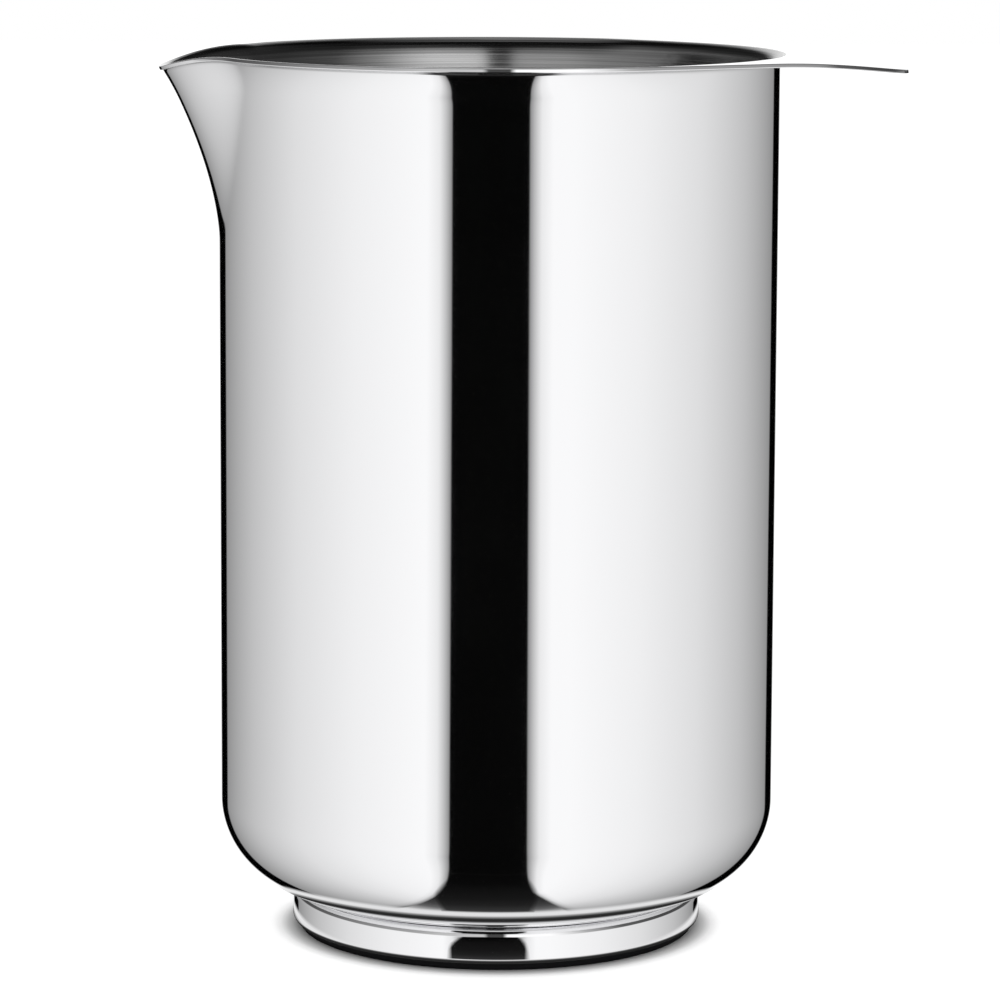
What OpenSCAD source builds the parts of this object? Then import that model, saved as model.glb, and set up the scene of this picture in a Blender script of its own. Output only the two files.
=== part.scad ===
// Cocktail pitcher: a straight steel cup on a low foot, with a spout and a thumb tab.
// The origin is on the cup's axis at the level of the table. The spout points to -X.

/* [Body] */
// Outer radius of the cup's straight wall
body_r = 49; // [46:0.5:56]
// Height of the mouth lip above the table
body_h = 155; // [130:1:200]
// Height of the cup's flat underside above the table
base_z = 7.5; // [6.5:0.5:12]
// Outer radius of the rounded lower corner
corner_r = 16; // [10:0.5:16.5]
// Thickness of the steel sheet
sheet = 0.7; // [0.5:0.1:1]

/* [Mouth lip] */
// Radius of the outward sweep below the lip
sweep_r = 11; // [8:0.5:16]
// Angle that the wall leans out at the end of the sweep
sweep_angle = 27; // [15:1:35]
// Radius under the turned-out lip
lip_bend_r = 1.1; // [0.6:0.1:2]
// Flat rim of the lip beyond its bend
lip_flat = 0.1; // [0.1:0.05:1]

/* [Spout] */
// How far the spout's nose stands out from the wall at the lip
spout_reach = 10.3; // [6:0.1:14]
// Height of the spout from its root to the lip at the nose
spout_h = 30.1; // [24:0.5:40]
// Half width of the spout at the lip
spout_half_w = 22.5; // [20:0.5:30]
// How far the pouring lip drops at the nose
spout_drop = 2.3; // [1:0.1:4]
// How far the pouring lip rises beside the nose
spout_rise = 1.8; // [0:0.1:2.5]
// Plain margin of the spout's pressing round the pressed area
spout_margin = 1.6; // [1:0.1:3]

/* [Thumb tab] */
// Distance from the cup's axis to the tip of the tab
tab_tip = 71.3; // [66:0.1:85]
// Radius of the tab's rounded end
tab_end_r = 33; // [24:1:40]
// Distance from the cup's axis at which the tab starts to droop
tab_droop_start = 46; // [40:1:50]
// Radius of the droop
tab_droop_r = 130; // [90:1:300]
// Width of the tab's two horns where they run out along the lip
tab_horn_w = 0.4; // [0.2:0.1:1.5]

/* [Foot ring] */
// Outer radius of the foot ring
foot_r = 36.2; // [34:0.2:37]
// Thickness of the foot ring's sheet
foot_sheet = 0.9; // [0.6:0.1:1.2]
// Height of the foot ring's lower edge above the table
foot_lift = 1.2; // [0.8:0.1:2]
// Outer radius of the bend at the top of the foot ring
foot_shoulder_r = 1.6; // [1.3:0.1:2.2]
// Outer radius of the bend at the foot ring's lower edge
foot_hem_r = 1.3; // [1.3:0.1:1.8]
// Width of the weld flange under the cup
foot_top_flange = 6; // [5:0.5:9]
// Width of the lower flange that holds the non-slip ring
foot_low_flange = 2.8; // [2.6:0.1:4]

/* [Non-slip ring] */
// How far the tread stays inside the foot ring's face
tread_inset = 1.3; // [1.3:0.1:2]
// Depth of the ring inside the edge of the flange that it grips
grip_depth = 2.4; // [1.5:0.1:4]
// Height of the ring's retaining bead above the flange
bead_h = 1.1; // [0.6:0.1:1.6]
// How far the bead reaches over the flange
bead_reach = 0.8; // [0.4:0.1:1.2]
// Radius of the tread's outer edge
tread_edge_r = 0.3; // [0.1:0.1:0.6]

/* [Hidden] */

// Hairline left at each welded edge and round the rubber's grip
fit_gap = 0.02;
// Overrun of every cut
over = 5;

// Segments of a full turn, and steps of the smaller round stretches
turn_fn = 144;
sweep_steps = 6;
bend_steps = 5;
tab_steps = 24;

// The lip: two arcs, each tangent to the last, and a short flat rim
sweep_centre = [body_r + sweep_r, body_h - sheet - lip_bend_r - (sweep_r - lip_bend_r) * sin(sweep_angle)];
bend_centre = sweep_centre - (sweep_r - lip_bend_r) * [cos(sweep_angle), -sin(sweep_angle)];
lip_start_z = sweep_centre.y;
lip_r = bend_centre.x + lip_flat;

// The spout's pressing and the notch that it fills
spout_root_z = body_h - spout_drop - spout_h;
notch_low_z = spout_root_z - spout_margin;
notch_half_w = spout_half_w + spout_margin;
// Share of the notch's half width at which its sides turn straight up
notch_side_share = 0.955;
notch_side_y = notch_half_w * notch_side_share;
notch_steps = 18;
wall_steps = 8;

// Powers that shape the spout: the flare of its nose, its fullness from side to side, the
// widening of its root, and how its lip rises and drops
nose_power = 1.65;
full_power = 3;
root_power = 4;
rise_power = 0.5;
drop_power = 1;
// Share of the mouth lip's reach that is left at the nose
nose_lip_share = 0.2;
// Step over which the spout's slope from side to side is measured
slope_step_share = 0.0001;
slope_step = spout_half_w * slope_step_share;

// The tab's straight sides touch the mouth lip and its rounded end
tab_end_x = tab_tip - tab_end_r;
tab_side_angle = acos((lip_r - tab_end_r) / tab_end_x);
tab_horn_angle = tab_side_angle - acos(lip_r / (lip_r + tab_horn_w));

foot_flange_x = foot_r - foot_low_flange;
ring_bore_x = foot_flange_x - grip_depth;

// Points of a round stretch about a centre, from one angle to another
function arc(centre, r, from, to, steps) =
  [for (i = [0:steps]) let (a = from + (to - from) * i / steps) centre + r * [cos(a), sin(a)]];

// Section of the wall's top and lip, moved in from the outer face by a thickness
function lip_arcs(inset) = concat(
  arc(sweep_centre, sweep_r + inset, 180, 180 - sweep_angle, sweep_steps),
  arc(bend_centre, lip_bend_r + inset, 180 - sweep_angle, 90, bend_steps));

// Body shell

// Outline of the cup up to its lip, moved in by a thickness
module cup_outline(inset, lip_end) {
  corner = [body_r - corner_r, base_z + corner_r];
  translate(corner) circle(corner_r - inset, $fn = turn_fn);
  translate([0, base_z + inset]) square([corner.x, corner_r - inset]);
  polygon(concat([[0, corner.y], [body_r - inset, corner.y]], lip_arcs(inset), lip_end));
}

module body_shell() {
  color([0.85, 0.86, 0.87])
  difference() {
    rotate_extrude($fn = turn_fn)
      difference() {
        cup_outline(0, [[lip_r, body_h - sheet], [lip_r, body_h], [0, body_h]]);
        cup_outline(sheet, [[bend_centre.x, body_h + over], [0, body_h + over]]);
      }
    spout_notch();
  }
}

// Height of the notch's edge at a distance from its middle
function notch_z(y) =
  notch_low_z + (body_h - notch_low_z) * pow(abs(y) / notch_half_w, root_power);

// Places across the notch, closer together where its edge turns up
notch_ys = [for (i = [-notch_steps:notch_steps]) notch_side_y * sin(90 * i / notch_steps)];

// Cutter for the notch, a hairline larger than the spout's pressing
module spout_notch() {
  widen = (notch_side_y + fit_gap) / notch_side_y;
  side = notch_side_y * widen;
  edge = [for (y = notch_ys) [y * widen, notch_z(y) - fit_gap]];
  rotate([90, 0, -90])
    linear_extrude(body_r + over)
      polygon(concat([[-side, body_h + over]], edge, [[side, body_h + over]]));
}

// Pouring spout

// How far the wall is pressed out, as a share, at a share of the half width
function bulge(s) = s >= 1 ? 0 : pow(1 - pow(s, full_power), 2);

// Height of the pouring lip's top edge
function pour_z(y) =
  let (b = bulge(abs(y) / spout_half_w))
    body_h + spout_rise * pow(b, rise_power) * (1 - b) - spout_drop * pow(b, drop_power);

// Distance of the spout's outer face from the cup's axis, towards the nose
function face_x(y, z) =
  let (t = max(0, (z - spout_root_z) / (pour_z(y) - spout_root_z)))
  let (s = t > 0 ? abs(y) / (spout_half_w * pow(t, 1 / root_power)) : 1)
    sqrt(body_r * body_r - y * y) + spout_reach * pow(t, nose_power) * bulge(s);

// How much of the mouth lip's section the pouring lip has: all of it beside the notch
function lip_share(y) =
  let (b = bulge(abs(y) / spout_half_w))
    (1 - b) * body_r / sqrt(body_r * body_r - y * y) + b * nose_lip_share;

// The lip's section as offsets out from the wall and up from its start
lip_offsets = [for (p = concat(lip_arcs(0), [[lip_r, body_h - sheet]])) p - [body_r, lip_start_z]];
levels = wall_steps + len(lip_offsets) - 1;

// Outer point at a level: first up the wall, then round the lip
function outer_point(y, level) =
  let (start_z = pour_z(y) - body_h + lip_start_z)
  let (z = notch_z(y) + (start_z - notch_z(y)) * min(level / wall_steps, 1))
  let (lip = lip_offsets[max(0, level - wall_steps)])
    [-face_x(y, z + lip.y) - lip.x * lip_share(y), y, z + lip.y];

// Inner point, one sheet behind the outer point and in the same slice
function inner_point(y, level) =
  let (along = outer_point(y, min(level + 1, levels)) - outer_point(y, max(level - 1, 0)))
  let (inward = [along.z, 0, -along.x] / norm(along))
  let (across = outer_point(y + slope_step, level) - outer_point(y - slope_step, level))
  let (slope = (across * inward) / (2 * slope_step))
    outer_point(y, level) + inward * sheet * sqrt(1 + slope * slope);

// Closed section of the pressing in one slice: up the outside and down the inside
function spout_slice(y) = concat(
  [for (level = [0:levels]) outer_point(y, level)],
  [for (level = [levels:-1:0]) inner_point(y, level)]);

module pouring_spout() {
  ring = 2 * (levels + 1);
  last = (len(notch_ys) - 1) * ring;
  points = [for (y = notch_ys) each spout_slice(y)];
  sides = [for (i = [0:len(notch_ys) - 2]) for (k = [0:ring - 1])
    let (a = i * ring + k, b = i * ring + (k + 1) % ring)
      each [[a, b, b + ring], [a, b + ring, a + ring]]];
  ends = [for (k = [0:levels - 1])
    let (a = k, b = k + 1, c = ring - 2 - k, d = ring - 1 - k)
      each [[a, c, b], [a, d, c], [last + a, last + b, last + c], [last + a, last + c, last + d]]];
  color([0.8, 0.82, 0.85]) polyhedron(points, concat(sides, ends), convexity = 6);
}

// Thumb tab

// Plan of the tab: straight sides that run from the mouth lip into a rounded end
module tab_plan() {
  side = lip_r * [cos(tab_side_angle), sin(tab_side_angle)];
  reach = lip_r + tab_tip;
  horn = reach * [cos(tab_horn_angle), sin(tab_horn_angle)];
  difference() {
    intersection() {
      polygon(concat([[0, 0], [side.x, -side.y]],
        arc([tab_end_x, 0], tab_end_r, -tab_side_angle, tab_side_angle, tab_steps), [side]));
      polygon([[0, 0], [horn.x, -horn.y], [reach, -horn.y], [reach, horn.y], horn]);
    }
    circle(lip_r + fit_gap, $fn = turn_fn);
  }
}

// Everything under a face that is level at first and then droops along a round bend
module under_droop(inset) {
  translate([tab_droop_start, body_h - tab_droop_r])
    circle(tab_droop_r - inset, $fn = 2 * turn_fn);
  translate([0, body_h - tab_droop_r])
    square([tab_droop_start, tab_droop_r - inset]);
}

module thumb_tab() {
  side_z = body_h - tab_droop_r + sheet;
  color([0.75, 0.78, 0.82])
  intersection() {
    translate([0, 0, side_z])
      linear_extrude(body_h + over - side_z) tab_plan();
    rotate([90, 0, 0])
      linear_extrude(2 * (lip_r + over), center = true)
        difference() {
          under_droop(0);
          under_droop(sheet);
        }
  }
}

// Foot ring

// Section of the ring's channel, moved in by a thickness and reaching in to a radius
module channel(inset, inner_x) {
  face_x = foot_r - inset;
  hem = foot_hem_r - inset;
  shoulder = foot_shoulder_r - inset;
  polygon(concat(
    [[inner_x, foot_lift + inset]],
    arc([face_x - hem, foot_lift + inset + hem], hem, -90, 0, bend_steps),
    arc([face_x - shoulder, base_z - inset - shoulder], shoulder, 0, 90, bend_steps),
    [[inner_x, base_z - inset]]));
}

module foot_ring() {
  flange_x = foot_r - foot_top_flange;
  mid_z = (foot_lift + base_z) / 2;
  color([0.7, 0.73, 0.78])
  rotate_extrude($fn = turn_fn)
    difference() {
      channel(0, flange_x);
      channel(foot_sheet, flange_x - over);
      translate([flange_x - over, foot_lift - over])
        square([foot_flange_x - flange_x + over, mid_z - foot_lift + over]);
    }
}

// Non-slip ring

module non_slip_ring() {
  tread_x = foot_r - tread_inset;
  flange_top = foot_lift + foot_sheet + fit_gap;
  color([0.08, 0.08, 0.09])
  rotate_extrude($fn = turn_fn)
    polygon(concat(
      [[ring_bore_x, 0]],
      arc([tread_x - tread_edge_r, tread_edge_r], tread_edge_r, -90, 0, bend_steps),
      [[tread_x, foot_lift],
       [foot_flange_x - fit_gap, foot_lift],
       [foot_flange_x - fit_gap, flange_top],
       [foot_flange_x + bead_reach, flange_top],
       [foot_flange_x, flange_top + bead_h],
       [ring_bore_x, flange_top + bead_h]]));
}

body_shell();
pouring_spout();
thumb_tab();
foot_ring();
non_slip_ring();
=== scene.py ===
import math

import bpy
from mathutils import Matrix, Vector
from mathutils.kdtree import KDTree


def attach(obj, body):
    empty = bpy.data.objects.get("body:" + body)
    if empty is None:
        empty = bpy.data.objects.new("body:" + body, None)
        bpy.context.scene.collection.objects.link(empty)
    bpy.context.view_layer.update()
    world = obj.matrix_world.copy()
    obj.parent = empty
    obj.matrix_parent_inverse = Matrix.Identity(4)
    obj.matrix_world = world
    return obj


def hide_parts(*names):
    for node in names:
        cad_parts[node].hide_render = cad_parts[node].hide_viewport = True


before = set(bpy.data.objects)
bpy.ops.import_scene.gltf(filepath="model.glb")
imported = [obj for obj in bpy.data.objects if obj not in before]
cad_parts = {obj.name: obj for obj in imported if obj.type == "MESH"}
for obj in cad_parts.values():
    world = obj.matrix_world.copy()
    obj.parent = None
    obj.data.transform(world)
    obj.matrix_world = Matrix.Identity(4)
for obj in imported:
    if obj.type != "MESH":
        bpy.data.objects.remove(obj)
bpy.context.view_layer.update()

# Cup.
# The real one is 0.7 mm stainless sheet, drawn and spun to a flat bottom, a rounded corner, a
# straight wall and a lip that leans out and then turns level. The sheet's closed section is
# drawn once and spun round the axis, and the tab and the spout are made from the same sheet.
mm = 0.001
columns = 288
sheet = 0.7 * mm
body_r = 49 * mm
body_h = 155 * mm
base_z = 7.5 * mm
bottom_steps = 4
corner_r = 16 * mm
corner_steps = 28
corner_margin = 1 * mm
close_rows_z = 112 * mm
wide_rows = 6
close_rows = 36
lean_r = 11 * mm
lean_angle = math.radians(27)
lean_steps = 10
bend_r = 1.1 * mm
bend_left_out = 0.01
bend_steps = 7
lip_flat = 0.08 * mm
lip_rows = 14
edge_w = 0.33 * mm
edge_tilt = 0.08 * mm
edge_steps = 4
arris_r = 0.08 * mm
arris_steps = 3
edge_top_r = 0.15 * mm
edge_top_start = math.radians(10)
edge_top_steps = 4
merge_gap = 0.0005 * mm

lean_x = body_r + lean_r
lean_z = body_h - sheet - bend_r - (lean_r - bend_r) * math.sin(lean_angle)
bend_x = lean_x - (lean_r - bend_r) * math.cos(lean_angle)
bend_z = body_h - sheet - bend_r
bend_end = math.pi / 2 + math.acos(1 - bend_left_out)
lip_r = bend_x + lip_flat


def round_stretch(x, z, radius, start, end, steps):
    """Points of an arc in the section, angles in radians."""
    angles = [start + (end - start) * i / steps for i in range(steps + 1)]
    return [(x + radius * math.cos(a), z + radius * math.sin(a)) for a in angles]


def straight_stretch(start, end, steps):
    """Points of a straight line in the section, without its first one."""
    return [
        tuple(a + (b - a) * i / steps for a, b in zip(start, end)) for i in range(1, steps + 1)
    ]


def wall_section(inset):
    """From the axis up to where the lip starts to lean, moved in from the outer face."""
    corner_x, corner_z = body_r - corner_r, base_z + corner_r
    wall_x = body_r - inset
    points = [(0, base_z + inset)]
    points += straight_stretch(
        points[-1], (corner_x - corner_margin, base_z + inset), bottom_steps
    )
    points += round_stretch(
        corner_x, corner_z, corner_r - inset, -math.pi / 2, 0, corner_steps
    )
    points += straight_stretch(points[-1], (wall_x, corner_z + corner_margin), 1)
    points += straight_stretch(points[-1], (wall_x, close_rows_z), wide_rows)
    points += straight_stretch(points[-1], (wall_x, lean_z), close_rows)
    return points


def leaning_lip(inset):
    """The lip that leans out and then turns level."""
    lean_end = math.pi - lean_angle
    lean = round_stretch(lean_x, lean_z, lean_r + inset, math.pi, lean_end, lean_steps)
    bend = round_stretch(bend_x, bend_z, bend_r + inset, lean_end, bend_end, bend_steps)
    return lean[1:] + bend[1:]


walls = wall_section(0), wall_section(sheet)
leaning_lips = leaning_lip(0), leaning_lip(sheet)
edge_turn = round_stretch(edge_w - arris_r, arris_r, arris_r, -math.pi / 2, 0, arris_steps)
edge_turn += straight_stretch(
    edge_turn[-1], (edge_w - edge_tilt, sheet - edge_top_r), edge_steps
)
edge_turn += round_stretch(
    edge_w - edge_tilt - edge_top_r,
    sheet - edge_top_r,
    edge_top_r,
    edge_top_start,
    math.pi / 2,
    edge_top_steps,
)[1:]


def sheet_face(inside, lip, edge_r):
    """One face of the sheet, from the axis to the start of its rounded edge."""
    points = walls[inside] + lip
    end = (edge_r - edge_w, body_h - sheet + inside * sheet)
    return points + straight_stretch(points[-1], end, lip_rows)


def closed_section(outer, inner):
    """Out along the outer face, round the sheet's edge, and back along the inner face."""
    corner_x, corner_z = outer[-1]
    edge = [(corner_x + x, corner_z + z) for x, z in edge_turn]
    return outer + edge[:-1] + inner[::-1]


def deselect_all():
    if bpy.context.object and bpy.context.object.mode != "OBJECT":
        bpy.ops.object.mode_set(mode="OBJECT")
    bpy.ops.object.select_all(action="DESELECT")


def select_only(piece):
    deselect_all()
    piece.select_set(True)
    bpy.context.view_layer.objects.active = piece


def drawn_line(name, points):
    """A new piece that is one line, drawn point by point with extrude."""
    deselect_all()
    bpy.ops.mesh.primitive_plane_add(size=mm)
    piece = bpy.context.object
    piece.name = name
    bpy.ops.object.mode_set(mode="EDIT")
    bpy.ops.mesh.select_all(action="SELECT")
    bpy.ops.mesh.merge(type="CENTER")
    bpy.ops.transform.translate(value=points[0])
    for before, after in zip(points, points[1:]):
        step = [b - a for a, b in zip(before, after)]
        bpy.ops.mesh.extrude_region_move(TRANSFORM_OT_translate={"value": step})
    return piece


def spun(name, section, closed):
    """A section spun a full turn round the axis, with its seam and poles merged."""
    piece = drawn_line(name, [(x, 0, z) for x, z in section])
    bpy.ops.mesh.select_all(action="SELECT")
    if closed:
        bpy.ops.mesh.edge_face_add()
        bpy.ops.mesh.delete(type="ONLY_FACE")
        bpy.ops.mesh.select_all(action="SELECT")
    bpy.ops.mesh.spin(steps=columns, angle=2 * math.pi, center=(0, 0, 0), axis=(0, 0, 1))
    bpy.ops.mesh.select_all(action="SELECT")
    bpy.ops.mesh.remove_doubles(threshold=merge_gap)
    bpy.ops.mesh.normals_make_consistent(inside=False)
    bpy.ops.object.mode_set(mode="OBJECT")
    return piece


outer_face = sheet_face(0, leaning_lips[0], lip_r)
plain_section = closed_section(outer_face, sheet_face(1, leaning_lips[1], lip_r))
cup_sheet = spun("cup_sheet", plain_section, False)

# Every point of the spun sheet is known by its place in the section from here on.
finder = KDTree(len(plain_section))
for index, (x, z) in enumerate(plain_section):
    finder.insert((x, 0, z), index)
finder.balance()
place_in_section = [
    finder.find((math.hypot(v.co.x, v.co.y), 0, v.co.z))[1] for v in cup_sheet.data.vertices
]

# Thumb tab.
# The real one is a broad flat tongue of the same sheet, level with the lip, with straight
# sides that touch it, a rounded end and a slight droop. It is drawn out of the spun lip, and
# the wall under it stays upright.
tab_tip = 71.3 * mm
tab_end_r = 33 * mm
tab_droop_start = 46 * mm
tab_droop_r = 130 * mm
tab_droop_fade_h = 3 * mm
tab_horn_w = 0.4 * mm
upright_to = math.radians(45)
leaning_from = math.radians(70)

tab_end_x = tab_tip - tab_end_r
tab_side_angle = math.acos((lip_r - tab_end_r) / tab_end_x)
tab_horn_angle = tab_side_angle - math.acos(lip_r / (lip_r + tab_horn_w))
tab_turn_angle = math.atan2(
    tab_end_r * math.sin(tab_side_angle), tab_end_x + tab_end_r * math.cos(tab_side_angle)
)


def smooth_share(value, start, end):
    """0 before start, 1 after end, and a soft rise between them."""
    share = min(1, max(0, (value - start) / (end - start)))
    return share * share * (3 - 2 * share)


def upright_lip(inset):
    """The lip at the tab, where the wall stays upright and turns over at once."""
    start = (body_r - inset, lean_z)
    bend = round_stretch(
        body_r + bend_r, bend_z, bend_r + inset, math.pi, bend_end, bend_steps
    )
    return straight_stretch(start, bend[0], lean_steps) + bend[1:]


def mixed(first, second, share):
    return [tuple(a + (b - a) * share for a, b in zip(p, q)) for p, q in zip(first, second)]


def sheet_edge_r(angle):
    """Distance of the sheet's edge from the axis at an angle from the tab's middle."""
    angle = abs(angle)
    if angle >= tab_side_angle:
        return lip_r
    if angle >= tab_turn_angle:
        return lip_r / math.cos(tab_side_angle - angle)
    across = tab_end_x * math.sin(angle)
    return tab_end_x * math.cos(angle) + math.sqrt(tab_end_r**2 - across**2)


upright_lips = upright_lip(0), upright_lip(sheet)


def section_at(angle):
    """The sheet's closed section at an angle from the tab's middle."""
    upright = 1 - smooth_share(abs(angle), upright_to, leaning_from)
    lips = [mixed(leaning_lips[side], upright_lips[side], upright) for side in (0, 1)]
    edge_r = sheet_edge_r(angle)
    return closed_section(sheet_face(0, lips[0], edge_r), sheet_face(1, lips[1], edge_r))


def droop(x):
    along = max(0, x - tab_droop_start)
    return tab_droop_r - math.sqrt(tab_droop_r**2 - along**2)


sections = {}
for vertex, index in zip(cup_sheet.data.vertices, place_in_section):
    angle = math.atan2(vertex.co.y, vertex.co.x)
    key = round(math.degrees(angle), 3)
    if key not in sections:
        sections[key] = section_at(angle)
    x, z = sections[key][index]
    drooping = smooth_share(z, body_h - tab_droop_fade_h, body_h - sheet)
    reach = x * math.cos(angle)
    vertex.co = (reach, x * math.sin(angle), z - droop(reach) * drooping)

# Pouring spout.
# The real one is pressed out of the same sheet: a nose that flares out towards its lip, fades
# into the wall at its root, and carries the mouth lip along its edge, low at the nose and
# raised beside it. The pressing moves the points of the spun sheet.
spout_reach = 9.8 * mm
spout_h = 30.1 * mm
spout_half_w = 22.3 * mm
pressed_half_w = 24.2 * mm
spout_drop = 2.4 * mm
spout_rise = 1.6 * mm
nose_power = 1.65
nose_overrun = 1.2
full_power = 3
root_power = 4
rise_power = 0.8
nose_lip_share = 0.2
root_margin = 2 * mm
turn_step = 0.0005

spout_root_z = body_h - spout_drop - spout_h
pressing_low_z = spout_root_z - root_margin


def bulge(share):
    """How much is pressed out at a share of the half width."""
    return 0 if share >= 1 else (1 - share**full_power) ** 2


def lip_lift(y):
    """How far the pouring lip stands above the mouth lip's height."""
    share = bulge(abs(y) / spout_half_w)
    return spout_rise * share**rise_power * (1 - share) - spout_drop * share


def pressed(x, z, angle):
    """Where a point of the section, at an angle from the nose, is after the pressing."""
    cosine, sine = math.cos(angle), math.sin(angle)
    wall_y = body_r * sine
    share = bulge(abs(wall_y) / pressed_half_w)
    past = max(0, x - body_r)
    height = (z - pressing_low_z) / (lean_z - pressing_low_z)
    raised = z + lip_lift(wall_y) * min(1, max(0, height))
    y = (min(x, body_r) + past * (1 - share)) * sine
    top = body_h + lip_lift(wall_y)
    up = min(nose_overrun, max(0, (raised - spout_root_z) / (top - spout_root_z)))
    out = 0
    if up > 0:
        width = pressed_half_w * min(1, up) ** (1 / root_power)
        out = spout_reach * up**nose_power * bulge(abs(y) / width)
    lip = past * (1 - share + share * nose_lip_share)
    return Vector((-(min(x, body_r) + lip) * cosine - out, y, raised))


def unpressed(x, z, angle):
    return Vector((-x * math.cos(angle), x * math.sin(angle), z))


def sheet_frame(shape, index, angle):
    """Point of the outer face, the direction along the section, and the one into the sheet."""
    here = shape(*outer_face[index], angle)
    before = outer_face[max(0, index - 1)]
    after = outer_face[min(len(outer_face) - 1, index + 1)]
    along = (shape(*after, angle) - shape(*before, angle)).normalized()
    ahead = shape(*outer_face[index], angle + turn_step)
    across = ahead - shape(*outer_face[index], angle - turn_step)
    return here, along, along.cross(across).normalized()


outer_last = len(outer_face) - 1
inner_first = len(plain_section) - 1 - outer_last
for vertex, index in zip(cup_sheet.data.vertices, place_in_section):
    angle = math.atan2(vertex.co.y, -vertex.co.x)
    low = vertex.co.z < pressing_low_z - root_margin
    if low or abs(angle) > math.pi / 2 or abs(body_r * math.sin(angle)) > pressed_half_w:
        continue
    if index < inner_first:
        opposite = min(index, outer_last)
    else:
        opposite = len(plain_section) - 1 - index
    old = sheet_frame(unpressed, opposite, angle)
    new = sheet_frame(pressed, opposite, angle)
    offset = Vector(vertex.co) - old[0]
    along, inward = offset.dot(old[1]), offset.dot(old[2])
    vertex.co = new[0] + new[1] * along + new[2] * inward

# Parting of the sheet into body shell, pouring spout and thumb tab.
# The real pieces meet along the edge of the spout's notch and along the tab's root, welded and
# polished over. The finished sheet is cut along both, and the pieces keep its even shading.
spout_margin = 1.6 * mm
notch_side_share = 0.955
notch_steps = 36
root_steps = 97
root_depth = 8 * mm
over = 5 * mm
steel_colour = (0.86, 0.86, 0.87, 1)
satin_lines = (12, 12, 3600)
# Satin colour: a base darker than the outer steel, brushed streaks, painted light lower in the
# bowl, painted shade at the lip.
satin_base, streak_light, painted_bowl_light, painted_lip_shade = 0.33, 0.2, 0.3, 0.24
bowl_from, bowl_to = 146 * mm, 138 * mm
lip_from, lip_to = 152.6 * mm, 153.8 * mm

notch_low_z = spout_root_z - spout_margin
notch_half_w = spout_half_w + spout_margin
notch_side_y = notch_half_w * notch_side_share

for name in ("outer_face", "inner_face"):
    cup_sheet.data.materials.append(bpy.data.materials.new(name))
for face in cup_sheet.data.polygons:
    rows = [place_in_section[i] for i in face.vertices]
    on_tab = abs(math.atan2(face.center.y, face.center.x)) < tab_side_angle
    satin_from = inner_first + (lip_rows if on_tab else 0)
    face.material_index = 1 if min(rows) >= satin_from else 0

select_only(cup_sheet)
bpy.ops.object.shade_smooth()
smoothing = cup_sheet.modifiers.new("even_shading", "WEIGHTED_NORMAL")
bpy.ops.object.modifier_apply(modifier=smoothing.name)


def prism(name, outline, push):
    """A closed outline filled and pushed out straight: a cutter."""
    piece = drawn_line(name, outline)
    bpy.ops.mesh.select_all(action="SELECT")
    bpy.ops.mesh.edge_face_add()
    bpy.ops.mesh.extrude_region_move(TRANSFORM_OT_translate={"value": push})
    bpy.ops.mesh.select_all(action="SELECT")
    bpy.ops.mesh.normals_make_consistent(inside=False)
    bpy.ops.object.mode_set(mode="OBJECT")
    return piece


def notch_z(y):
    """Height of the notch's edge at a distance from its middle."""
    return notch_low_z + (body_h - notch_low_z) * (abs(y) / notch_half_w) ** root_power


notch_far_x = -(body_r + spout_reach + over)
notch_ys = [
    notch_side_y * math.sin(math.pi / 2 * i / notch_steps)
    for i in range(-notch_steps, notch_steps + 1)
]
notch_outline = [(notch_far_x, -notch_side_y, body_h + over)]
notch_outline += [(notch_far_x, y, notch_z(y)) for y in notch_ys]
notch_outline += [(notch_far_x, notch_side_y, body_h + over)]
notch_cutter = prism("notch_cutter", notch_outline, (-notch_far_x, 0, 0))


def root_points(radius, shares):
    """Points on a circle round the axis, at shares of the angle of the tab's horns."""
    angles = [tab_horn_angle * share for share in shares]
    low_z = body_h - root_depth
    return [(radius * math.cos(a), radius * math.sin(a), low_z) for a in angles]


root_outline = root_points(lip_r, [-1 + 2 * i / root_steps for i in range(root_steps + 1)])
root_outline += root_points(tab_tip + over, (1, 0.5, 0, -0.5, -1))
root_cutter = prism("root_cutter", root_outline, (0, 0, root_depth + over))


def cut(source, name, cutter, operation):
    """A copy of the sheet cut by a prism."""
    select_only(source)
    bpy.ops.object.duplicate()
    piece = bpy.context.object
    piece.name = name
    piece.data.name = name
    slicing = piece.modifiers.new("slicing", "BOOLEAN")
    slicing.operation = operation
    slicing.solver = "EXACT"
    slicing.object = cutter
    bpy.ops.object.modifier_apply(modifier=slicing.name)
    return piece


def shaded_as(piece, source):
    """Takes the shading over from the uncut sheet, so that none shows at the cuts."""
    select_only(piece)
    shading = piece.modifiers.new("uncut_shading", "DATA_TRANSFER")
    shading.object = source
    shading.use_loop_data = True
    shading.data_types_loops = {"CUSTOM_NORMAL"}
    shading.loop_mapping = "POLYINTERP_NEAREST"
    bpy.ops.object.modifier_apply(modifier=shading.name)


spout = cut(cup_sheet, "spout_pressing", notch_cutter, "INTERSECT")
rest = cut(cup_sheet, "cup_rest", notch_cutter, "DIFFERENCE")
tab = cut(rest, "tab_plate", root_cutter, "INTERSECT")
body = cut(rest, "cup_body", root_cutter, "DIFFERENCE")
for piece in (spout, tab, body):
    shaded_as(piece, cup_sheet)
for used_up in (rest, cup_sheet, notch_cutter, root_cutter):
    bpy.data.objects.remove(used_up)


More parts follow.
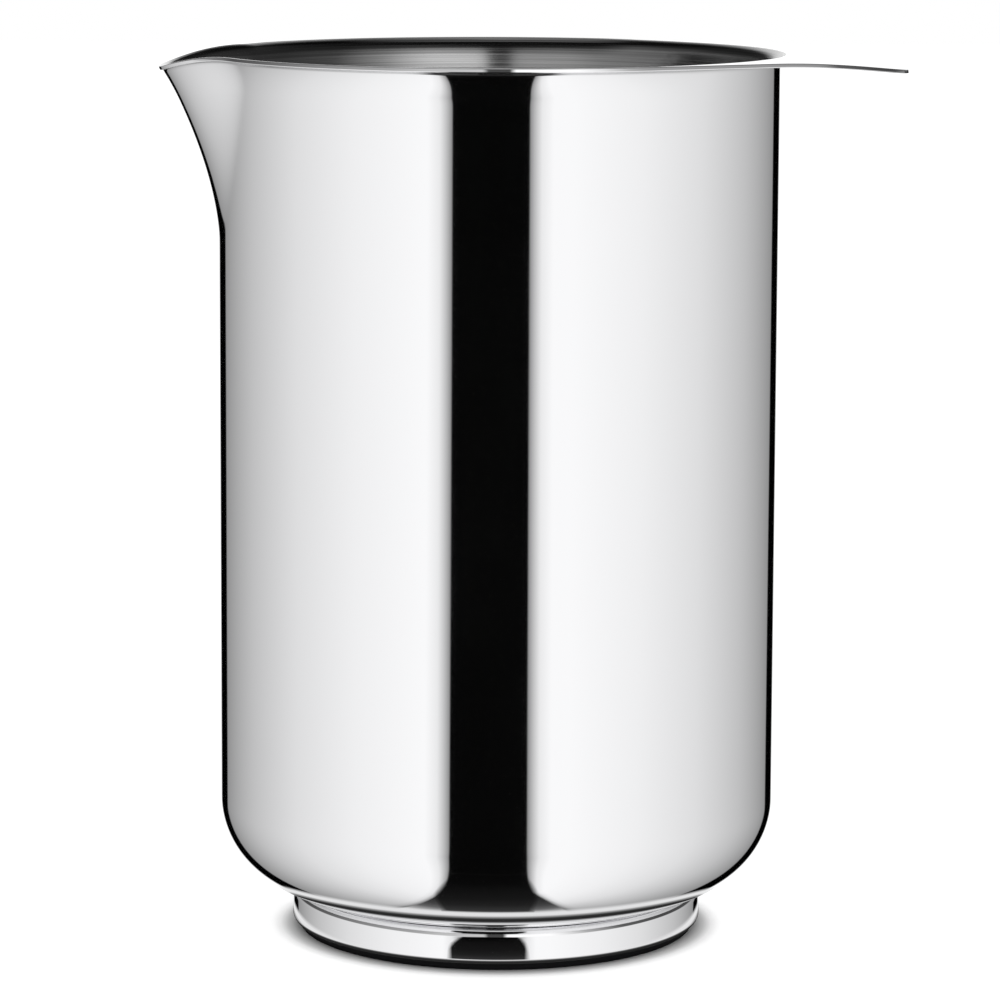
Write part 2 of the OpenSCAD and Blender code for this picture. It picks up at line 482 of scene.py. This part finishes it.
# The steel is mirror polished outside and on the tab, and brushed satin in the bowl.
class Value:
    """A shader socket that can be used in sums, and from which other nodes are made."""

    def __init__(self, socket):
        self.socket = socket

    def node(self, kind, settings, inputs, output=0):
        """A new node in the same tree: its settings, then the values or links of its sockets."""
        tree = self.socket.id_data
        made = tree.nodes.new(kind)
        for name, value in settings.items():
            if name == "stops":
                while len(made.color_ramp.elements) < len(value):
                    made.color_ramp.elements.new(1)
                for stop, (position, level) in zip(made.color_ramp.elements, value):
                    stop.position = position
                    stop.color = (level, level, level, 1)
            else:
                setattr(made, name, value)
        for name, value in inputs.items():
            if isinstance(value, Value):
                tree.links.new(value.socket, made.inputs[name])
            else:
                made.inputs[name].default_value = value
        return Value(made.outputs[output])

    def maths(self, operation, *inputs):
        return self.node("ShaderNodeMath", {"operation": operation}, dict(enumerate(inputs)))

    def __add__(self, other):
        return self.maths("ADD", self, other)

    __radd__ = __add__

    def __sub__(self, other):
        return self.maths("SUBTRACT", self, other)

    def __rsub__(self, other):
        return self.maths("SUBTRACT", other, self)

    def __mul__(self, other):
        return self.maths("MULTIPLY", self, other)

    __rmul__ = __mul__

    def __truediv__(self, other):
        return self.maths("DIVIDE", self, other)

    def range(self, start, end):
        """0 at start and 1 at end."""
        return self.node("ShaderNodeMapRange", {}, {0: self, 1: start, 2: end})

    def ramp(self, stops):
        """Levels at positions from 0 to 1, joined by straight stretches."""
        return self.node("ShaderNodeValToRGB", {"stops": stops}, {0: self})


def new_material(name):
    """A material, its shader, and the place on the piece to make its nodes from."""
    material = bpy.data.materials.new(name)
    material.use_nodes = True
    shader = material.node_tree.nodes["Principled BSDF"]
    place = Value(shader.outputs[0]).node("ShaderNodeTexCoord", {}, {}, "Object")
    return material, shader, place


def feed(value, node, name):
    node.id_data.links.new(value.socket, node.inputs[name])


polished_steel, shader, place = new_material("polished_steel")
shader.inputs["Metallic"].default_value = 1
shader.inputs["Base Color"].default_value = steel_colour
polish = place.node("ShaderNodeTexNoise", {}, {"Vector": place, "Scale": 60, "Detail": 3})
feed(0.03 + 0.02 * polish, shader, "Roughness")

# The satin's colour carries painted light lower in the bowl and painted shade at the lip.
satin_steel_painted_shade, shader, place = new_material("satin_steel_painted_shade")
shader.inputs["Metallic"].default_value = 1
lines = place.node("ShaderNodeMapping", {}, {"Vector": place, "Scale": satin_lines})
grain = place.node("ShaderNodeTexNoise", {}, {"Vector": lines, "Scale": 1, "Detail": 3})
streak = grain.range(0.36, 0.64)
height = place.node("ShaderNodeSeparateXYZ", {}, {0: place}, "Z")
# Painted light down in the bowl and painted shade at the lip, set by height.
painted_light_in_bowl = height.range(bowl_from, bowl_to)
painted_shade_at_lip = height.range(lip_from, lip_to)
satin_with_painted_shade = satin_base + streak_light * streak + painted_bowl_light * painted_light_in_bowl - painted_lip_shade * painted_shade_at_lip
feed(satin_with_painted_shade, shader, "Base Color")
feed(0.13 + 0.08 * streak, shader, "Roughness")
brushed = place.node(
    "ShaderNodeBump", {}, {"Strength": 0.2, "Distance": 0.05 * mm, "Height": grain}
)
feed(brushed, shader, "Normal")

for piece, node in ((spout, "pouring_spout"), (tab, "thumb_tab"), (body, "body_shell")):
    piece.data.materials[0] = polished_steel
    piece.data.materials[1] = satin_steel_painted_shade
    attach(piece, "root")
    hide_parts(node)

# Foot ring.
# The real one is a low upright ring of 0.9 mm stainless sheet, rolled and bent: its top flange
# is welded under the cup, and its lower flange turns in to hold the non-slip ring. The section
# is spun.
foot_r = 36.2 * mm
foot_sheet = 0.9 * mm
foot_lift = 1.2 * mm
foot_shoulder_r = 1.6 * mm
foot_hem_r = 0.98 * mm
foot_bend_steps = 10
foot_face_steps = 4
foot_top_flange = 6 * mm
foot_low_flange = 2.8 * mm
crease = math.radians(40)

foot_flange_x = foot_r - foot_low_flange


def channel(inset):
    """One face of the ring's open channel, from its lower flange up to its top flange."""
    face_x = foot_r - inset
    hem, shoulder = foot_hem_r - inset, foot_shoulder_r - inset
    hem_z, shoulder_z = foot_lift + inset + hem, base_z - inset - shoulder
    points = [(foot_flange_x, foot_lift + inset)]
    points += round_stretch(face_x - hem, hem_z, hem, -math.pi / 2, 0, foot_bend_steps)
    points += straight_stretch(points[-1], (face_x, shoulder_z), foot_face_steps)[:-1]
    points += round_stretch(
        face_x - shoulder, shoulder_z, shoulder, 0, math.pi / 2, foot_bend_steps
    )
    points += [(foot_r - foot_top_flange, base_z - inset)]
    return points


foot = spun("foot_ring_steel", channel(0) + channel(foot_sheet)[::-1], True)
select_only(foot)
bpy.ops.object.shade_smooth_by_angle(angle=crease)
smoothing = foot.modifiers.new("even_shading", "WEIGHTED_NORMAL")
smoothing.keep_sharp = True
bpy.ops.object.modifier_apply(modifier=smoothing.name)
foot.data.materials.append(polished_steel)
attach(foot, "root")
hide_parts("foot_ring")

# Non-slip ring.
# The real one is a moulded ring of black rubber that is snapped over the foot ring's lower
# flange, and shows only as a low dark line on the table. The section is spun.
tread_inset = 1.3 * mm
tread_edge_r = 0.3 * mm
tread_edge_steps = 6
grip_depth = 2.4 * mm
grip_gap = 0.02 * mm
bead_h = 1.1 * mm
bead_reach = 0.8 * mm
# Black rubber, set darker still as painted shade for the tight shadow at the foot.
rubber_black_and_painted_shade = (0.006, 0.006, 0.007, 1)

tread_x = foot_r - tread_inset
ring_bore_x = foot_flange_x - grip_depth
groove_x = foot_flange_x - grip_gap
groove_top = foot_lift + foot_sheet + grip_gap
bead_top = groove_top + bead_h
ring_section = [(ring_bore_x, 0)]
ring_section += round_stretch(
    tread_x - tread_edge_r, tread_edge_r, tread_edge_r, -math.pi / 2, 0, tread_edge_steps
)
ring_section += [(tread_x, foot_lift), (groove_x, foot_lift), (groove_x, groove_top)]
ring_section += [(foot_flange_x + bead_reach, groove_top), (foot_flange_x, bead_top)]
ring_section += [(ring_bore_x, bead_top)]
ring = spun("non_slip_rubber", ring_section, True)
select_only(ring)
bpy.ops.object.shade_smooth_by_angle(angle=crease)

black_rubber, shader, place = new_material("black_rubber")
shader.inputs["Base Color"].default_value = rubber_black_and_painted_shade
shader.inputs["Specular IOR Level"].default_value = 0.15
grain = place.node("ShaderNodeTexNoise", {}, {"Vector": place, "Scale": 900, "Detail": 3})
feed(0.5 + 0.2 * grain, shader, "Roughness")
matt = place.node(
    "ShaderNodeBump", {}, {"Strength": 0.3, "Distance": 0.05 * mm, "Height": grain}
)
feed(matt, shader, "Normal")
ring.data.materials.append(black_rubber)
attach(ring, "root")
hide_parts("non_slip_ring")

# Floor.
# A pale matt table that glows up to white away from the foot. Its glow fades out round the foot,
# a painted shadow, so that only the shadow round the foot shows, partly painted and partly real.
# The steel sees just a ring of it that grows light outwards from a painted shadow at the foot,
# and a dark strip in front, under the gap between the panels. From below it can't be seen.
floor_w = 6
floor_colour = (0.5, 0.5, 0.5, 1)
painted_shadow_from, painted_shadow_to = 35 * mm, 45 * mm
ring_inner_r = 35 * mm
ring_from, ring_to = 36 * mm, 45 * mm
ring_end = 41.5 * mm, 43.5 * mm
strip_start_r = 42 * mm, 43 * mm
strip_light_end_r = 62 * mm
strip_left, strip_right = -15.2 * mm, 10.5 * mm
strip_blur = 1 * mm
strip_left_at_foot, strip_right_at_foot = -8 * mm, 5.4 * mm
strip_blur_at_foot = 0.8 * mm
strip_left_splay, strip_right_splay = 0.48, 0.31
foot_front_y = -35.5 * mm
strip_far_fade = -74 * mm, -62 * mm
strip_near_fade = -5 * mm, -10 * mm

deselect_all()
bpy.ops.mesh.primitive_plane_add(size=floor_w)
floor = bpy.context.object
floor.name = "floor"
pale_floor, shader, place = new_material("pale_floor")
shader.inputs["Base Color"].default_value = floor_colour
shader.inputs["Roughness"].default_value = 1
shader.inputs["Specular IOR Level"].default_value = 0
shader.inputs["Emission Strength"].default_value = 1
from_axis = place.node("ShaderNodeVectorMath", {"operation": "LENGTH"}, {0: place}, "Value")
# Painted shadow: the glow is nil at the foot's edge and rises to full beyond it.
glow_and_painted_shadow = from_axis.range(painted_shadow_from, painted_shadow_to).ramp(
    [(0, 0), (0.07, 0.05), (0.2, 0.2), (0.34, 0.5), (0.5, 0.7)]
)
feed(glow_and_painted_shadow, shader, "Emission Color")

across = place.node("ShaderNodeSeparateXYZ", {}, {0: place}, "X")
behind = place.node("ShaderNodeSeparateXYZ", {}, {0: place}, "Y")
ahead = foot_front_y - behind


def strip_side(value, edge, blur):
    """1 on the strip's side of an edge, which is left or right by its sign, and 0 past it."""
    outwards = math.copysign(blur, edge)
    return value.range(edge + outwards, edge - outwards)


in_strip = strip_side(across, strip_left, strip_blur)
in_strip = in_strip * strip_side(across, strip_right, strip_blur)
in_strip = in_strip * strip_side(
    across + strip_left_splay * ahead, strip_left_at_foot, strip_blur_at_foot
)
in_strip = in_strip * strip_side(
    across - strip_right_splay * ahead, strip_right_at_foot, strip_blur_at_foot
)
in_strip = in_strip * behind.range(*strip_far_fade) * behind.range(*strip_near_fade)
past_ring = from_axis.range(*strip_start_r)
strip_light = from_axis.range(strip_start_r[0], strip_light_end_r).ramp(
    [(0, 0.07), (0.1, 0.035), (0.25, 0.016), (0.45, 0.008), (1, 0.002)]
)
# Painted shadow in the steel's view of the floor: the ring is dark at the foot, light further
# out.
ring_light_and_painted_shadow = from_axis.range(ring_from, ring_to).ramp(
    [(0, 0.02), (0.17, 0.04), (0.33, 0.35), (0.44, 0.85), (0.7, 0.9)]
)
off_ring = from_axis.range(ring_inner_r, ring_inner_r - 1 * mm) + from_axis.range(*ring_end)
seen_light = ring_light_and_painted_shadow + in_strip.range(0, 0.05) * past_ring * (strip_light - ring_light_and_painted_shadow)
clear = place.node("ShaderNodeBsdfTransparent", {}, {})
lit = place.node("ShaderNodeEmission", {}, {"Color": seen_light})
in_steel = place.node(
    "ShaderNodeMixShader", {}, {0: off_ring * (1 - in_strip * past_ring), 1: lit, 2: clear}
)
glossy = place.node("ShaderNodeLightPath", {}, {}, "Is Glossy Ray")
below = place.node("ShaderNodeNewGeometry", {}, {}, "Backfacing")
from_above = place.node(
    "ShaderNodeMixShader", {}, {0: glossy, 1: Value(shader.outputs[0]), 2: in_steel}
)
shown = place.node("ShaderNodeMixShader", {}, {0: below, 1: from_above, 2: clear})
feed(shown, pale_floor.node_tree.nodes["Material Output"], "Surface")
floor.data.materials.append(pale_floor)

# Studio.
# Two broad white panels stand in front, left and right of a dark gap that draws the black band
# down the cup, with black flags past their far ends that draw its dark outlines, and a white
# backdrop behind. Only the steel sees them. The camera and the light see plain white.
# Directions are given by their parts to the side, away and up, and angles in half turns.
gap_left, gap_right = 0.315, 0.21
gap_narrowing_left, gap_narrowing_right = 0.05, 0.03
gap_widening_left, gap_widening_right = 0.02, 0.05
gap_above = 0.07
gap_edge = 0.004
gap_light_shift = 0.6
gap_light_fade = 0.7, 0.8
panel_blur, steep_panel_blur = 0.2, 0.06
flag_start, flag_end = 150 / 180, 151.2 / 180
table_top = -0.02, 0.06
steep_range = 0.3, 0.98
straight_down_range = 0.89, 0.98
table_end_light = 1.1
table_end_turn = 164 / 180, 167 / 180
table_end_height = -0.75, -0.5
upper_blur = 0.04
upper_end_height = 0.45, 0.7
upper_dark = 0.05
dark = 0.02
backdrop_light, backdrop_fall = 1.08, 0.65
backdrop_turn = 150 / 180, 165 / 180
backdrop_fall_height = 0.3, 0.6
ceiling_light = 0.42
ceiling_height = 0.84, 0.95

world = bpy.data.worlds.new("studio")
bpy.context.scene.world = world
world.use_nodes = True
world.cycles.sampling_method = "NONE"
background = world.node_tree.nodes["Background"]
way = Value(background.outputs[0]).node("ShaderNodeTexCoord", {}, {}, "Generated")
right = way.node("ShaderNodeSeparateXYZ", {}, {0: way}, "X")
far = way.node("ShaderNodeSeparateXYZ", {}, {0: way}, "Y")
high = way.node("ShaderNodeSeparateXYZ", {}, {0: way}, "Z")
aside = right.maths("ABSOLUTE", right)
turn = right.maths("ARCTAN2", aside, 0 - far) / math.pi
on_left = right.maths("LESS_THAN", right, 0)
above = high.range(*table_top)
steep = (0 - high).range(*steep_range)
straight_down = (0 - high).range(*straight_down_range)


def by_side(left, right):
    return right + on_left * (left - right)


gap_half = by_side(gap_left, gap_right)
gap_half = gap_half - by_side(gap_narrowing_left, gap_narrowing_right) * steep
gap_half = gap_half + by_side(gap_widening_left, gap_widening_right) * straight_down
past_gap = aside - (gap_half + above * (gap_above - gap_half))

panel = (past_gap / (panel_blur + (steep_panel_blur - panel_blur) * steep)).ramp(
    [(0, 0), (0.02, 0.27), (0.2, 0.55), (0.42, 0.86), (0.8, 1.0)]
)
falloff = turn.ramp(
    [
        (0, 1.1),
        (30 / 180, 1.1),
        (60 / 180, 1.0),
        (90 / 180, 0.84),
        (120 / 180, 0.6),
        (151 / 180, 0.3),
    ]
)
flag = turn.ramp([(0, 1), (flag_start, 1), (flag_end, 0)])
in_gap = 1 - (past_gap / gap_edge).range(0, 1)
gap_light = (far + gap_light_shift).ramp(
    [
        (0, 0.0008),
        (0.3, 0.012),
        (0.5, 0.04),
        (0.6, 0.07),
        (0.7, 0.14),
        (0.8, 0.4),
        (0.9, 0.8),
    ]
)
table_end = turn.range(*table_end_turn) * high.range(*table_end_height)
lower = panel * falloff * flag
lower = lower + in_gap * gap_light * (1 - far.range(*gap_light_fade))
lower = lower + table_end_light * table_end

upper_left = turn.ramp(
    [(0, 0.6), (0.17, 0.52), (0.24, 0.36), (0.34, 0.28), (0.46, 0.18), (0.6, 0.06), (0.75, 0)]
)
upper_right = turn.ramp([(0.17, 1.1), (0.22, 0.85), (0.29, 0.42), (0.42, 0.05), (0.6, 0)])
upper_end = 1 - high.range(*upper_end_height)
upper = by_side(upper_left, upper_right) * upper_end * (past_gap / upper_blur).range(0, 1)
upper = upper + upper_dark * upper_end
backdrop = backdrop_light - backdrop_fall * high.range(*backdrop_fall_height)
backdrop = turn.range(*backdrop_turn) * backdrop
ceiling = ceiling_light * high.range(*ceiling_height)

seen = lower + above * (upper + backdrop + dark - lower) + ceiling
camera_ray = way.node("ShaderNodeLightPath", {}, {}, "Is Camera Ray")
glossy_ray = way.node("ShaderNodeLightPath", {}, {}, "Is Glossy Ray")
feed(camera_ray + glossy_ray * seen + (1 - camera_ray - glossy_ray), background, "Strength")
background.inputs["Color"].default_value = (1, 1, 1, 1)

# Camera.
# It looks at the pitcher from the front and a little from above, from the photograph's place,
# and its small roll and turn are the photograph's own.
camera_place = (0.36 * mm, -782 * mm, 197.26 * mm)
looking_down = 7.79
roll = -0.25
turned_left = 0.034

camera = bpy.data.cameras.new("camera")
camera.lens = 161.35
camera.sensor_width = 36
camera.shift_y = -0.08
camera_object = bpy.data.objects.new("camera", camera)
bpy.context.scene.collection.objects.link(camera_object)
camera_object.location = camera_place
camera_object.rotation_euler = [
    math.radians(degrees) for degrees in (90 - looking_down, roll, turned_left)
]
bpy.context.scene.camera = camera_object
bpy.context.scene.view_settings.view_transform = "Standard"
